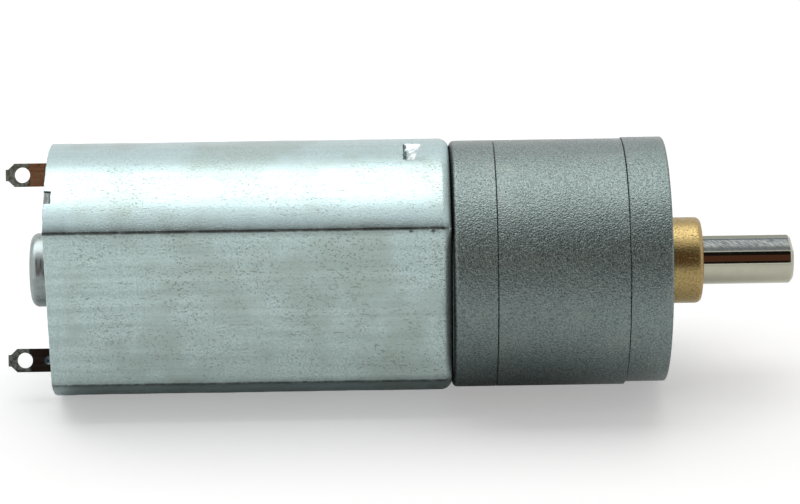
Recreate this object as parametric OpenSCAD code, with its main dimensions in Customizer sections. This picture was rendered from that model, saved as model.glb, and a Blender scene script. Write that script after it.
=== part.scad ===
// Geared dc motor: a flat-sided brushed motor drives a round spur gearbox with a D-shaped output shaft.
// +x runs along the output shaft, +z along the wide way of the motor can, and the can's flats face -y and +y.
// The origin is the centre of the gearbox front face.

/* [Gearbox] */
// Diameter of the gearbox
box_d = 20; // [18:0.1:22]
// Length of the front cover
front_cover_l = 3.35; // [3.3:0.05:3.8]
// Length of the gear housing
housing_l = 10.4; // [10.3:0.1:11.2]
// Length of the rear cover
rear_cover_l = 3.55; // [3.4:0.05:4]
// Chamfer on each side of a seam
seam_chamfer = 0.06; // [0.04:0.01:0.12]
// Rounding of the front rim
front_edge_r = 0.2; // [0.1:0.05:0.4]
// Rounding of the rear rim, beside the motor
rear_edge_r = 0.45; // [0.3:0.05:0.6]
// Thickness of the wall round the gear chamber
chamber_wall = 2.9; // [2.8:0.05:3]
// How far the front cover's rim stands off the gearbox's axis
cover_shift = 0.17; // [0:0.01:0.18]
// How much smaller the front cover's rim is than the gearbox, in diameter
cover_under = 0.12; // [0.1:0.02:0.2]

/* [Fixings] */
// Distance between the two tapped mounting holes in the front face
mount_spacing = 15; // [14.6:0.1:15.2]
// Thread diameter of the mounting holes
mount_thread_d = 2.5; // [2:0.5:2.5]
// Depth of the mounting holes
mount_depth = 2.9; // [2.5:0.1:2.9]
// Distance of the cover screws from the gearbox's outside
cover_screw_in = 1.55; // [1.4:0.05:1.6]
// Thread diameter of the cover screws
cover_screw_d = 1.4; // [1.2:0.1:1.4]
// Distance of the screws that hold the gearbox on the motor from the chamber's wall
motor_screw_in = 1.9; // [1.8:0.1:2]
// Thread diameter of those screws
motor_screw_d = 2; // [1.6:0.2:2]

/* [Output shaft] */
// Diameter of the output shaft
shaft_d = 4; // [3.9:0.1:4.2]
// Distance from the front face to the tip of the shaft
shaft_out = 10.5; // [9:0.5:14]
// Depth of the flat on the shaft
flat_depth = 0.5; // [0.3:0.1:0.5]
// Angle between the flat and the can's wide way
flat_turn = 3.4; // [0:0.1:90]
// Diameter of the bush in front of the face
bush_d = 7; // [6.6:0.1:7.4]
// Length of the bush in front of the face
bush_out = 3.05; // [2.5:0.05:3.5]
// Diameter of the shaft inside the bush
journal_d = 3.6; // [3.4:0.1:3.7]

/* [Gear train] */
// Teeth of the pinions on the idler pins
pinion_teeth = 9; // [9:1:10]
// Teeth of the wheels they drive
wheel_teeth = 22; // [20:1:22]
// Teeth of the pinion on the motor
motor_pinion_teeth = 12; // [12:1:13]
// Play between meshing teeth, along the pitch circle
backlash = 0.05; // [0.04:0.01:0.08]
// Wall of an idler pinion, between its bore and the roots of its teeth
pinion_wall = 0.405; // [0.355:0.01:0.425]
// Width of the wheels
wheel_w = 1.5; // [1.4:0.05:1.5]

/* [Motor can] */
// How far the can's rounded sides stand out past the gearbox
can_step = 0.2; // [0.1:0.05:0.4]
// Width of the can over its flats
can_flats = 15.4; // [13.8:0.1:17]
// Length of the can
can_l = 32.1; // [28:0.1:38]
// Thickness of the sheet
can_wall = 0.8; // [0.7:0.05:0.8]
// Rounding of the can's front edge
can_edge_r = 0.9; // [0.85:0.05:1.2]
// Rounding between a flat and a rounded side
can_corner_r = 0.4; // [0.2:0.1:0.6]
// Width of the lanced magnet stops in the rounded sides
lance_w = 2.8; // [2:0.2:3.2]
// Length of a lanced stop, from its sheared edge to the end of its ramp
lance_l = 1.3; // [1:0.1:1.6]
// Depth of a lanced stop at its sheared edge
lance_depth = 0.9; // [0.85:0.05:1]
// Distance from the can's front to the sheared edge
lance_at = 3.67; // [3.4:0.1:4]

/* [Motor rear end] */
// Diameter of the boss on the end plate
boss_d = 6; // [5.8:0.1:6.4]
// Distance from the can's rim to the top of the boss
boss_out = 1.85; // [1.6:0.05:2.4]
// Rounding of the boss
boss_edge_r = 0.6; // [0.3:0.1:0.6]
// Angle of the four staked ears from the can's wide way
ear_angle = 31; // [29:1:33]
// Width of an ear's notch in the rim
notch_w = 1.22; // [1:0.02:1.4]
// Depth of an ear's notch in the rim
notch_depth = 0.56; // [0.5:0.02:0.7]
// Distance of the terminals' middles from the can's rounded side
terminal_in = 2.67; // [2.55:0.02:2.85]
// Angle of the terminals from the can's wide way
terminal_turn = 25; // [22:1:26]
// Width of a terminal
terminal_w = 1.9; // [1.8:0.1:2]
// Thickness of a terminal
terminal_t = 0.35; // [0.3:0.05:0.4]
// Distance from the can's rim to a terminal's tip
terminal_out = 3.9; // [3.4:0.1:4.4]
// Diameter of the solder hole in a terminal
terminal_hole_d = 1.26; // [1.2:0.02:1.4]
// How far both terminals sit above their places
terminal_rise = 0.18; // [0:0.02:0.2]

/* [Rotor] */
// Wall of the motor pinion, between its bore and the roots of its teeth
motor_pinion_wall = 0.2425; // [0.2425:0.01:0.2925]
// Space between the laminated core and the can's flats
core_clear = 0.8; // [0.7:0.05:1]
// Distance from a magnet's end to the core's end
core_in = 3; // [2.5:0.5:4]
// Diameter of the commutator
commutator_d = 4.8; // [4.6:0.1:5]
// Space between the magnets and the brush posts
magnet_clear = 1.6; // [1.2:0.1:3]
// Space between a magnet's long edges and the can's flats
magnet_side_clear = 0.5; // [0.4:0.05:0.7]
// Space between the core and the magnets
air_gap = 0.4; // [0.3:0.05:0.4]

/* [Fits] */
// Space round pieces that are pressed, staked or screwed together
fit_gap = 0.02; // [0.015:0.005:0.03]
// Radial clearance of a turning journal
run_gap = 0.04; // [0.03:0.01:0.06]

/* [Hidden] */
$fn = 64;

// Cutters run this far past what they cut
over = 0.5;
// Space between pieces that pass each other while they turn
free_gap = 0.4;
// End float beside a washer or spacer
float_gap = 0.05;
// How far an edge's rounding stands proud of the faces it blends, so that it runs out in a clean line
blend = 0.002;

// Stations along x
x_seam_front = -front_cover_l;
x_seam_rear = x_seam_front - housing_l;
x_joint = x_seam_rear - rear_cover_l;
x_rim = x_joint - can_l;

// Gear chamber
chamber_r = box_d / 2 - chamber_wall;
chamber_gap = 0.3375;
spigot_t = 0.38;
spigot_l = 0.75;
pin_seat = 1.5;

// Teeth: the pinions are cut with a profile shift, and the wheels with the opposite shift
pressure_angle = 20;
pinion_shift = 0.45;
motor_pinion_shift = 0.3;
pinion_addendum = 0.85;
wheel_addendum = 1;
dedendum = 1.25;
flank_steps = 4;
first_wheel_teeth = wheel_teeth + pinion_teeth - motor_pinion_teeth;
// The module is the one at which the wheels on the idler pins fill the chamber
gear_module = (chamber_r - chamber_gap) / (wheel_teeth + pinion_teeth / 2 + wheel_addendum - pinion_shift);
centre_distance = gear_module * (wheel_teeth + pinion_teeth) / 2;

function pitch_r(teeth) = gear_module * teeth / 2;
function base_r(teeth) = pitch_r(teeth) * cos(pressure_angle);
function root_r(teeth, shift) = pitch_r(teeth) - gear_module * (dedendum - shift);
function tip_r(teeth, shift) =
    pitch_r(teeth) + gear_module * ((shift > 0 ? pinion_addendum : wheel_addendum) + shift);

// The two idler pins and the axis stand at the corners of an equal-sided triangle
pin_a_angle = 150;
pin_b_angle = 210;
pin_a = centre_distance * [cos(pin_a_angle), sin(pin_a_angle)];
pin_b = centre_distance * [cos(pin_b_angle), sin(pin_b_angle)];
axis_to_a = pin_a_angle;
a_to_axis = pin_a_angle + 180;
a_to_b = 270;
b_to_a = 90;

// Gear layers along x, from the rear cover to the front cover
spacer_gap = 0.1375;
spacer_r = centre_distance - tip_r(wheel_teeth, -pinion_shift) - spacer_gap;
rear_spacer_l = 0.35;
x_wheel_1 = x_seam_rear + rear_spacer_l + float_gap;
x_wheel_2 = x_wheel_1 + wheel_w + free_gap;
x_wheel_3 = x_wheel_2 + wheel_w + free_gap + 0.1;
x_output_gear = x_wheel_3 + wheel_w + free_gap + 0.1;
output_gear_w = 1.8;
pinion_past = 0.2;
x_pinion_1_end = x_wheel_2 + wheel_w + pinion_past;
x_pinion_2_end = x_wheel_3 + wheel_w + pinion_past;
x_pinion_3_end = x_output_gear + output_gear_w + pinion_past;
pinion_hub_r = root_r(pinion_teeth, pinion_shift) - fit_gap;
pinion_bore_r = root_r(pinion_teeth, pinion_shift) - pinion_wall;
idler_pin_d = 2 * pinion_bore_r - run_gap;
lightening_holes = 4;
lightening_hole_d = 0.8;

// Bush and output shaft
bush_edge = 0.4;
bush_edge_l = 0.5;
bush_pocket = 0.3;
pin_wall = 0.375;
bush_body_r = centre_distance - idler_pin_d / 2 - pin_wall;
journal_r = journal_d / 2;
x_shoulder = bush_out + float_gap;
shaft_chamfer = 0.3;
output_washer_t = 0.35;
washer_gap = 0.125;
output_washer_r = centre_distance - spacer_r - washer_gap;
x_output_washer = x_seam_front - float_gap - output_washer_t;
x_gear_hub = x_output_washer - float_gap;
x_journal = x_output_washer + output_washer_t + fit_gap;
hub_gap = 0.225;
hub_wall = 0.7;
output_hub_r = centre_distance - tip_r(pinion_teeth, pinion_shift) - hub_gap;
gear_seat_r = output_hub_r - hub_wall;

// Screws
cover_screw_r = box_d / 2 - cover_screw_in;
motor_screw_r = chamber_r - motor_screw_in;
cover_screw_angles = [0, 120, 240];
cover_head_d = 2.4;
cover_screw_bite = 2.6;
motor_head_d = 3.6;
motor_screw_bite = 1.4;
recess_w = 0.28;

// Motor can
can_r = box_d / 2 + can_step;
can_boss_out = 1.6;
can_boss_wall = 0.75;
x_can_inside = x_joint - can_wall;
x_lance = x_joint - lance_at;

// Bearings
bearing_r = boss_d / 2 - can_boss_wall;
x_front_bearing = x_can_inside - 0.25;
boss_cap = 0.7;
rear_bearing_l = 2.1;

// End plate and brush gear
plate_t = 0.9;
ear_t = 0.5;
ear_sunk = 0.12;
x_plate = x_rim + fit_gap;
x_plate_front = x_plate + plate_t;
x_boss_top = x_rim - boss_out;
x_rear_bearing = x_boss_top + boss_cap;
holder_t = 1.2;
holder_hole_r = 2.6;
x_holder_front = x_plate_front + fit_gap + holder_t;
collar_wall = 0.3;
post_l = 4.6;
x_post_end = x_holder_front + post_l;
arm_t = 0.2;
arm_w = 2.2;
x_arm = x_post_end - arm_w - 0.3;
arm_y = 4.3;
brush_w = 1.8;
brush_l = 2;
commutator_r = commutator_d / 2;
bar_t = 0.4;
bar_gap = 0.35;
bar_l = 4.4;
x_commutator = x_arm - 1.1;

// Terminals
terminal_r = can_r - terminal_in;
terminal_chamfer = 0.48;
terminal_chamfer_l = 0.5;
terminal_nub_l = 0.22;
terminal_hole_at = 1.35;
terminal_foot = 2.6;
dimple_d = 0.67;
dimple_depth = 0.12;

// Rotor and magnets
motor_shaft_r = root_r(motor_pinion_teeth, motor_pinion_shift) - motor_pinion_wall - fit_gap;
core_r = can_flats / 2 - can_wall - core_clear;
shoe_t = 1.2;
neck_w = 2.2;
slot_w = 1.7;
core_hub_r = 2.2;
coil_t = 1.5;
coil_overhang = 1.4;
insulator_t = 0.3;
magnet_r = core_r + air_gap;
magnet_outer_r = can_r - can_wall - fit_gap;
magnet_half_angle = asin((can_flats / 2 - can_wall - magnet_side_clear) / magnet_outer_r);
lance_clear = 0.08;
x_magnet_front = x_lance - lance_clear;
x_magnet_rear = x_post_end + magnet_clear;
magnet_l = x_magnet_front - x_magnet_rear;
x_core = x_magnet_rear + core_in;
core_l = magnet_l - 2 * core_in;
x_motor_pinion = x_joint + can_boss_out + free_gap;
x_motor_pinion_end = x_wheel_1 + wheel_w + 0.1;

// Colours
cast_grey = "#6d797b";
zinc = "#aebbba";
steel = "#b9bcb9";
bronze = "#a98a4f";
brass = "#c2a258";
dark_steel = "#4c4a47";
ferrite = "#3a3b3d";
copper = "#b06a3c";
plastic = "#23272b";
carbon = "#2a2a2c";
paper = "#7d5a34";

// Draws a shape made in (y, z, x) along the x axis, from station x
module along_x(x = 0) {
    translate([x, 0, 0]) rotate([90, 0, 90]) children();
}

// A round bar from station x0 to station x1
module bar(x0, x1, r) {
    along_x(x0) cylinder(h = x1 - x0, r = r);
}

// A tube from station x0 to station x1
module tube(x0, x1, r, bore_r) {
    difference() {
        bar(x0, x1, r);
        bar(x0 - over, x1 + over, bore_r);
    }
}

// Moves a shape from the axis to a pin
module on_pin(pin) {
    translate([0, pin[0], pin[1]]) children();
}

// Half of a disc's section, with a chamfer at each rim
module disc_section(r, l, chamfer_low, chamfer_high) {
    polygon([
        [0, 0], [r - chamfer_low, 0], [r, chamfer_low],
        [r, l - chamfer_high], [r - chamfer_high, l], [0, l]
    ]);
}

// Half of a disc's section, with its far rim rounded
module round_rim_section(r, l, edge) {
    square([r - edge, l]);
    square([r, l - edge]);
    translate([r - edge, l - edge]) circle(edge);
}

// A countersunk screw whose head faces +x at station x1
module countersunk_screw(x0, x1, d, head_d) {
    head_l = (head_d - d) / 2;
    l = x1 - x0;
    along_x(x0) difference() {
        rotate_extrude()
            polygon([[0, 0], [d / 2, 0], [d / 2, l - head_l], [head_d / 2, l], [0, l]]);
        for (turn = [0, 90])
            rotate(turn)
                translate([-head_d * 0.3, -recess_w / 2, l - head_l])
                    cube([head_d * 0.6, recess_w, head_l + over]);
    }
}

// The hole for such a screw, with its countersink at station x1
module countersunk_hole(x0, x1, d, head_d) {
    head_l = (head_d - d) / 2;
    l = x1 - x0;
    r = d / 2 + fit_gap;
    along_x(x0) rotate_extrude()
        polygon([
            [0, -over], [r, -over], [r, l - head_l],
            [head_d / 2 + fit_gap, l], [head_d / 2 + fit_gap, l + over], [0, l + over]
        ]);
}

// Turns a shape to each cover screw's place
module at_cover_screws() {
    for (angle = cover_screw_angles)
        on_pin(cover_screw_r * [cos(angle), sin(angle)]) children();
}

// Moves a shape to both screws between gearbox and motor
module at_motor_screws() {
    for (side = [-1, 1])
        on_pin([0, side * motor_screw_r]) children();
}

// Roll angle of an involute at a pressure angle, in degrees
function involute(angle) = tan(angle) * 180 / PI - angle;

// Half of a tooth's angle at a radius on its flank
function tooth_half(teeth, shift, radius) =
    let (thick = gear_module * (PI / 2 + 2 * shift * tan(pressure_angle)) - backlash / 2)
    thick / (2 * pitch_r(teeth)) * 180 / PI
    + involute(pressure_angle)
    - involute(acos(min(1, base_r(teeth) / radius)));

function polar(r, angle) = r * [cos(angle), sin(angle)];

// Outline of a spur gear with involute flanks, and one tooth pointing along the given angle
function gear_outline(teeth, shift, angle) =
    let (
        base = base_r(teeth),
        root = root_r(teeth, shift),
        tip = tip_r(teeth, shift),
        root_half = tooth_half(teeth, shift, base),
        flank = [for (i = [0 : flank_steps]) base + (tip - base) * i / flank_steps],
        half = [for (r = flank) tooth_half(teeth, shift, r)]
    )
    [for (i = [0 : teeth - 1])
        let (middle = angle + 360 * i / teeth)
        each concat(
            [polar(root, middle - root_half)],
            [for (k = [0 : flank_steps]) polar(flank[k], middle - half[k])],
            [for (k = [flank_steps : -1 : 0]) polar(flank[k], middle + half[k])],
            [polar(root, middle + root_half)]
        )];

// A toothed ring from station x0 to station x1
module teeth_between(x0, x1, teeth, shift, angle) {
    along_x(x0) linear_extrude(x1 - x0) polygon(gear_outline(teeth, shift, angle));
}

// A wheel with a gap between teeth along the given angle, pressed on its pinion's hub
module wheel(x, teeth, shift, angle) {
    hole_r = (pinion_hub_r + root_r(teeth, shift)) / 2;
    difference() {
        teeth_between(x, x + wheel_w, teeth, shift, angle + 180 / teeth);
        bar(x - over, x + wheel_w + over, pinion_hub_r + fit_gap);
        for (i = [0 : lightening_holes - 1])
            on_pin(polar(hole_r, angle + 360 * i / lightening_holes))
                bar(x - over, x + wheel_w + over, lightening_hole_d / 2);
    }
}

// A pinion with one tooth along the given angle, and a hub that its wheel sits on
module idler_pinion(x_wheel, x_end, angle) {
    difference() {
        union() {
            bar(x_wheel, x_wheel + wheel_w + fit_gap, pinion_hub_r);
            teeth_between(x_wheel + wheel_w + fit_gap, x_end, pinion_teeth, pinion_shift, angle);
        }
        bar(x_wheel - over, x_end + over, pinion_bore_r);
    }
}

// A ring that enters the housing at a seam and centres a cover there
module spigot(x0, x1) {
    tube(x0, x1, chamber_r + spigot_t, chamber_r);
}

// Outline of the can in (y, z), drawn in by an inset
module can_outline(inset) {
    intersection() {
        circle(can_r - inset);
        square([can_flats - 2 * inset, 2 * can_r], center = true);
    }
}

// Outline of the can with its four corners rounded
module can_round_outline() {
    corner_y = can_flats / 2 - can_corner_r;
    corner_z = sqrt(pow(can_r - can_corner_r, 2) - pow(corner_y, 2));
    beyond = 1.3;
    difference() {
        can_outline(0);
        for (y = [0, 1], z = [0, 1])
            mirror([y, 0]) mirror([0, z])
                polygon([
                    [corner_y, corner_z], [can_flats / 2 + over, corner_z],
                    [can_flats / 2 + over, corner_z * beyond], [corner_y, corner_z] * beyond
                ]);
    }
    for (y = [-1, 1], z = [-1, 1])
        translate([y * corner_y, z * corner_z]) circle(can_corner_r);
}

// Section of what the rounding takes off the can's front edge, at a distance r from the axis
module can_edge_section(r) {
    translate([r - can_edge_r, can_l - can_edge_r]) difference() {
        square(can_edge_r + over);
        circle(can_edge_r + blend);
    }
}

// Draws a section made in (distance from the axis, distance along x) across the can, at both flats
module at_flats(x) {
    linear_extrude(2 * can_r + 2 * over, center = true)
        for (side = [0, 1])
            mirror([0, side]) translate([x, 0]) rotate(-90) mirror([1, 0]) children();
}

// The can's outside, before it is hollowed
module can_outside() {
    difference() {
        along_x(x_rim) linear_extrude(can_l) can_round_outline();
        along_x(x_rim) rotate_extrude() can_edge_section(can_r);
        at_flats(x_rim) can_edge_section(can_flats / 2);
    }
}

// The can's hollow, which runs out past the rim
module can_inside() {
    l = can_l - can_wall + over;
    edge = can_edge_r - can_wall;
    intersection() {
        along_x(x_rim - over) rotate_extrude() round_rim_section(can_r - can_wall, l, edge);
        at_flats(x_rim - over) round_rim_section(can_flats / 2 - can_wall, l, edge);
    }
}

// A lanced stop's wedge in the rounded side, drawn in by a depth below the surface
module lance_wedge(below) {
    top = can_r - below;
    rotate([90, 0, 0])
        linear_extrude(lance_w, center = true)
            polygon([
                [x_lance, top - lance_depth],
                [x_lance + lance_l * (1 + over / lance_depth), top + over],
                [x_lance, top + over]
            ]);
}

// Turns a shape to each of the four ears on the rim
module at_ears() {
    for (side = [0, 180], angle = [-ear_angle, ear_angle])
        rotate([side + angle, 0, 0]) children();
}

// Distance of a terminal's middle from the axis
function terminal_at(upper) = terminal_r + (upper ? terminal_rise : -terminal_rise);

// Turns a shape made along +z to one terminal's direction
module at_terminal(upper) {
    rotate([upper ? -terminal_turn : 180 - terminal_turn, 0, 0]) children();
}

// A strip of even thickness along a path in (y, z), as an outline
function path_side(path, half) = [
    for (i = [0 : len(path) - 1])
        let (
            before = path[max(i - 1, 0)],
            after = path[min(i + 1, len(path) - 1)],
            into = i > 0 ? (path[i] - before) / norm(path[i] - before) : undef,
            out = i < len(path) - 1 ? (after - path[i]) / norm(after - path[i]) : undef,
            first = is_undef(into) ? out : into,
            second = is_undef(out) ? into : out,
            bisector = (first + second) / norm(first + second),
            side = [-bisector[1], bisector[0]],
            reach = half / (bisector * first)
        )
        path[i] + side * reach
];
function strip_outline(path, t) =
    let (left = path_side(path, t / 2), right = path_side(path, -t / 2))
    concat(left, [for (i = [len(right) - 1 : -1 : 0]) right[i]]);

// Turns the upper half's brush gear half a turn to make the lower half's
module brush_side(upper) {
    rotate([upper ? 0 : 180, 0, 0]) children();
}

// The brush arm's path in (y, z): beside the terminal, then straight down past the brush
arm_root = polar(terminal_r + 0.6, 90 - terminal_turn) + (terminal_t / 2 + arm_t) * [cos(terminal_turn), -sin(terminal_turn)];
arm_bend = polar(terminal_r - 1, 90 - terminal_turn) + (terminal_t / 2 + arm_t) * [cos(terminal_turn), -sin(terminal_turn)];
arm_path = [arm_root, arm_bend, [arm_y, 3.6], [arm_y, -1.4]];

// Gearbox

// Front cover: carries the bush, the idler pins' front ends and the mounting holes; its cast rim is a little off
module front_cover() {
    rim_r = (box_d - cover_under) / 2;
    color(cast_grey) difference() {
        union() {
            translate([0, 0, cover_shift]) along_x(x_seam_front) rotate_extrude() intersection() {
                disc_section(rim_r, front_cover_l, seam_chamfer, 0);
                round_rim_section(rim_r, front_cover_l, front_edge_r);
            }
            spigot(x_seam_front - spigot_l, x_seam_front + over);
        }
        bar(x_seam_front - over, over, bush_body_r + fit_gap);
        bar(-bush_pocket, over, bush_d / 2 + fit_gap);
        for (side = [-1, 1])
            on_pin([0, side * mount_spacing / 2]) bar(-mount_depth, over, mount_thread_d / 2);
        for (pin = [pin_a, pin_b])
            on_pin(pin) bar(x_seam_front - over, x_seam_front + pin_seat, idler_pin_d / 2 + fit_gap);
        at_cover_screws() countersunk_hole(x_seam_front, 0, cover_screw_d, cover_head_d);
    }
}

// Gear housing: the ring between the covers, stepped at both ends for their spigots
module gear_housing() {
    step_r = chamber_r + spigot_t + fit_gap;
    step_l = spigot_l + float_gap;
    color(cast_grey) difference() {
        along_x(x_seam_rear) rotate_extrude()
            disc_section(box_d / 2, housing_l, seam_chamfer, seam_chamfer);
        bar(x_seam_rear - over, x_seam_front + over, chamber_r);
        bar(x_seam_rear - over, x_seam_rear + step_l, step_r);
        bar(x_seam_front - step_l, x_seam_front + over, step_r);
        at_cover_screws() bar(x_seam_rear - over, x_seam_front + over, cover_screw_d / 2 + run_gap);
    }
}

// Rear cover: fits over the can's boss and is screwed to the can from inside the gearbox
module rear_cover() {
    pinion_hole_r = tip_r(motor_pinion_teeth, motor_pinion_shift) + 0.3;
    color(cast_grey) difference() {
        union() {
            along_x(x_seam_rear) mirror([0, 0, 1]) rotate_extrude() intersection() {
                disc_section(box_d / 2, rear_cover_l, seam_chamfer, 0);
                round_rim_section(box_d / 2, rear_cover_l, rear_edge_r);
            }
            spigot(x_seam_rear - over, x_seam_rear + spigot_l);
        }
        bar(x_joint - over, x_joint + can_boss_out + float_gap, boss_d / 2 + fit_gap);
        bar(x_joint - over, x_seam_rear + over, pinion_hole_r);
        for (pin = [pin_a, pin_b])
            on_pin(pin) bar(x_seam_rear - pin_seat, x_seam_rear + over, idler_pin_d / 2 + fit_gap);
        at_motor_screws() countersunk_hole(x_joint, x_seam_rear, motor_screw_d, motor_head_d);
        at_cover_screws()
            bar(x_seam_rear - cover_screw_bite - 0.2, x_seam_rear + over, cover_screw_d / 2 + fit_gap);
    }
}

// Sintered bronze bush, pressed into the front cover, with its collar over a shallow pocket in the face
module output_bush() {
    r = bush_d / 2;
    l = bush_out + front_cover_l;
    color(bronze) difference() {
        along_x(x_seam_front) rotate_extrude()
            polygon(concat(
                [[0, 0], [bush_body_r, 0], [bush_body_r, front_cover_l], [r, front_cover_l]],
                [for (turn = [0 : 15 : 90]) [r - bush_edge * (1 - cos(turn)), l - bush_edge_l * (1 - sin(turn))]],
                [[0, l]]
            ));
        bar(x_seam_front - over, bush_out + over, journal_r + run_gap);
    }
}

// Long screws that hold the covers and the housing together
module cover_screws() {
    color(dark_steel) at_cover_screws()
        countersunk_screw(x_seam_rear - cover_screw_bite, -fit_gap, cover_screw_d, cover_head_d);
}

// Short screws that hold the rear cover on the can
module motor_screws() {
    color(dark_steel) at_motor_screws()
        countersunk_screw(x_joint - motor_screw_bite, x_seam_rear - fit_gap, motor_screw_d, motor_head_d);
}

// A steel pin between the covers, that idler gears turn on
module idler_pin(pin) {
    color(steel) on_pin(pin)
        bar(x_seam_rear - pin_seat + fit_gap, x_seam_front + pin_seat - fit_gap, idler_pin_d / 2);
}

module idler_pin_a() { idler_pin(pin_a); }
module idler_pin_b() { idler_pin(pin_b); }

// Spacer tubes that keep the idlers in their layers
module idler_spacers() {
    bore = pinion_bore_r;
    color(brass) {
        on_pin(pin_a) {
            tube(x_seam_rear + float_gap / 2, x_wheel_1 - float_gap / 2, spacer_r, bore);
            tube(x_pinion_1_end + float_gap, x_wheel_3 - float_gap, spacer_r, bore);
            tube(x_pinion_3_end + float_gap, x_seam_front - float_gap, spacer_r, bore);
        }
        on_pin(pin_b) {
            tube(x_seam_rear + float_gap, x_wheel_2 - float_gap, spacer_r, bore);
            tube(x_pinion_2_end + float_gap, x_seam_front - float_gap, spacer_r, bore);
        }
    }
}

// Output shaft: D-shaped end, a shoulder in front of the bush, a journal and a gear seat
module output_shaft() {
    r = shaft_d / 2;
    x_tail = x_output_gear - 0.15;
    color(steel) difference() {
        along_x() rotate_extrude()
            polygon([
                [0, x_tail], [gear_seat_r, x_tail], [gear_seat_r, x_journal],
                [journal_r, x_journal], [journal_r, x_shoulder], [r, x_shoulder],
                [r, shaft_out - shaft_chamfer], [r - shaft_chamfer, shaft_out], [0, shaft_out]
            ]);
        rotate([flat_turn, 0, 0])
            translate([x_shoulder - fit_gap, -r - over, r - flat_depth])
                cube([shaft_out, shaft_d + 2 * over, flat_depth + over]);
    }
}

// Output gear with a long hub, pressed on the shaft's seat
module output_gear() {
    color(brass) difference() {
        union() {
            teeth_between(x_output_gear, x_output_gear + output_gear_w, wheel_teeth, -pinion_shift,
                axis_to_a + 180 / wheel_teeth);
            bar(x_output_gear, x_gear_hub, output_hub_r);
        }
        bar(x_output_gear - over, x_gear_hub + over, gear_seat_r + fit_gap);
    }
}

// Thrust washer between the output gear and the bush
module output_washer() {
    color(steel) tube(x_output_washer, x_output_washer + output_washer_t, output_washer_r, gear_seat_r + run_gap);
}

// First idler, on pin a: driven by the motor
module first_wheel() {
    color(brass) on_pin(pin_a) wheel(x_wheel_1, first_wheel_teeth, -motor_pinion_shift, a_to_axis);
}
module first_pinion() {
    color(steel) on_pin(pin_a) idler_pinion(x_wheel_1, x_pinion_1_end, a_to_b);
}

// Second idler, on pin b
module second_wheel() {
    color(brass) on_pin(pin_b) wheel(x_wheel_2, wheel_teeth, -pinion_shift, b_to_a);
}
module second_pinion() {
    color(steel) on_pin(pin_b) idler_pinion(x_wheel_2, x_pinion_2_end, b_to_a);
}

// Third idler, on pin a: drives the output gear
module third_wheel() {
    color(brass) on_pin(pin_a) wheel(x_wheel_3, wheel_teeth, -pinion_shift, a_to_b);
}
module third_pinion() {
    color(steel) on_pin(pin_a) idler_pinion(x_wheel_3, x_pinion_3_end, a_to_axis);
}

// Motor

// Deep-drawn can with flat sides, a bearing boss, lanced magnet stops and a notched rim
module motor_can() {
    color(zinc) difference() {
        union() {
            difference() {
                can_outside();
                can_inside();
            }
            bar(x_can_inside, x_joint + can_boss_out, boss_d / 2);
            for (side = [0, 180]) rotate([side, 0, 0]) intersection() {
                lance_wedge(can_wall);
                bar(x_lance - over, x_lance + 2 * lance_l, can_r - can_wall + 0.1);
            }
        }
        for (side = [0, 180]) rotate([side, 0, 0]) lance_wedge(0);
        bar(x_can_inside - over, x_joint + can_boss_out + over, bearing_r + fit_gap);
        at_motor_screws() bar(x_can_inside - over, x_joint + over, motor_screw_d / 2 + fit_gap);
        at_ears() translate([x_rim - over, -notch_w / 2, can_r - 2 * can_wall])
            cube([notch_depth + over, notch_w, 3 * can_wall]);
    }
}

// Steel end plate, staked in the rim by four ears, with a drawn boss for the rear bearing
module end_plate() {
    plate_inset = can_wall + fit_gap;
    slot_t = terminal_t + 2 * collar_wall + 2 * fit_gap;
    slot_h = terminal_w + 2 * collar_wall + 2 * fit_gap;
    ear_w = notch_w - 2 * fit_gap;
    color(steel) difference() {
        union() {
            along_x(x_plate) linear_extrude(plate_t) can_outline(plate_inset);
            along_x(x_plate_front) mirror([0, 0, 1]) rotate_extrude()
                round_rim_section(boss_d / 2, x_plate_front - x_boss_top, boss_edge_r);
            at_ears() translate([x_plate, -ear_w / 2, can_r - 2 * can_wall])
                cube([ear_t, ear_w, 2 * can_wall - ear_sunk]);
        }
        bar(x_rear_bearing - fit_gap, x_plate_front + over, bearing_r + fit_gap);
        for (upper = [true, false])
            at_terminal(upper) translate([x_plate - over, -slot_t / 2, terminal_at(upper) - slot_h / 2])
                cube([plate_t + 2 * over, slot_t, slot_h]);
    }
}

// Sintered bearings of the motor shaft
module front_bearing() {
    color(bronze) tube(x_front_bearing, x_joint + can_boss_out - fit_gap, bearing_r, motor_shaft_r + run_gap);
}
module rear_bearing() {
    color(bronze) tube(x_rear_bearing, x_rear_bearing + rear_bearing_l, bearing_r, motor_shaft_r + run_gap);
}

// An arc magnet inside one rounded side of the can
module magnet(side) {
    reach = 2 * can_r;
    half = magnet_half_angle;
    color(ferrite) rotate([side, 0, 0]) intersection() {
        tube(x_magnet_rear, x_magnet_front, magnet_outer_r, magnet_r);
        along_x(x_magnet_rear - over) linear_extrude(magnet_l + 2 * over)
            polygon([[0, 0], reach * [sin(half), cos(half)], [0, 2 * reach], reach * [-sin(half), cos(half)]]);
    }
}

module magnet_upper() { magnet(0); }
module magnet_lower() { magnet(180); }

// Sprung steel clip along one flat, that pushes the magnets apart
module magnet_clip() {
    back_y = can_flats / 2 - can_wall - arm_t;
    foot = polar(magnet_r + 0.6, 90 - magnet_half_angle) + 0.25 * [cos(magnet_half_angle), -sin(magnet_half_angle)];
    color(steel) along_x(x_magnet_rear) linear_extrude(magnet_l)
        polygon(strip_outline([
            [foot[0], foot[1]], [back_y, foot[1] - 1.2], [back_y, -foot[1] + 1.2], [foot[0], -foot[1]]
        ], arm_t));
}

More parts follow.
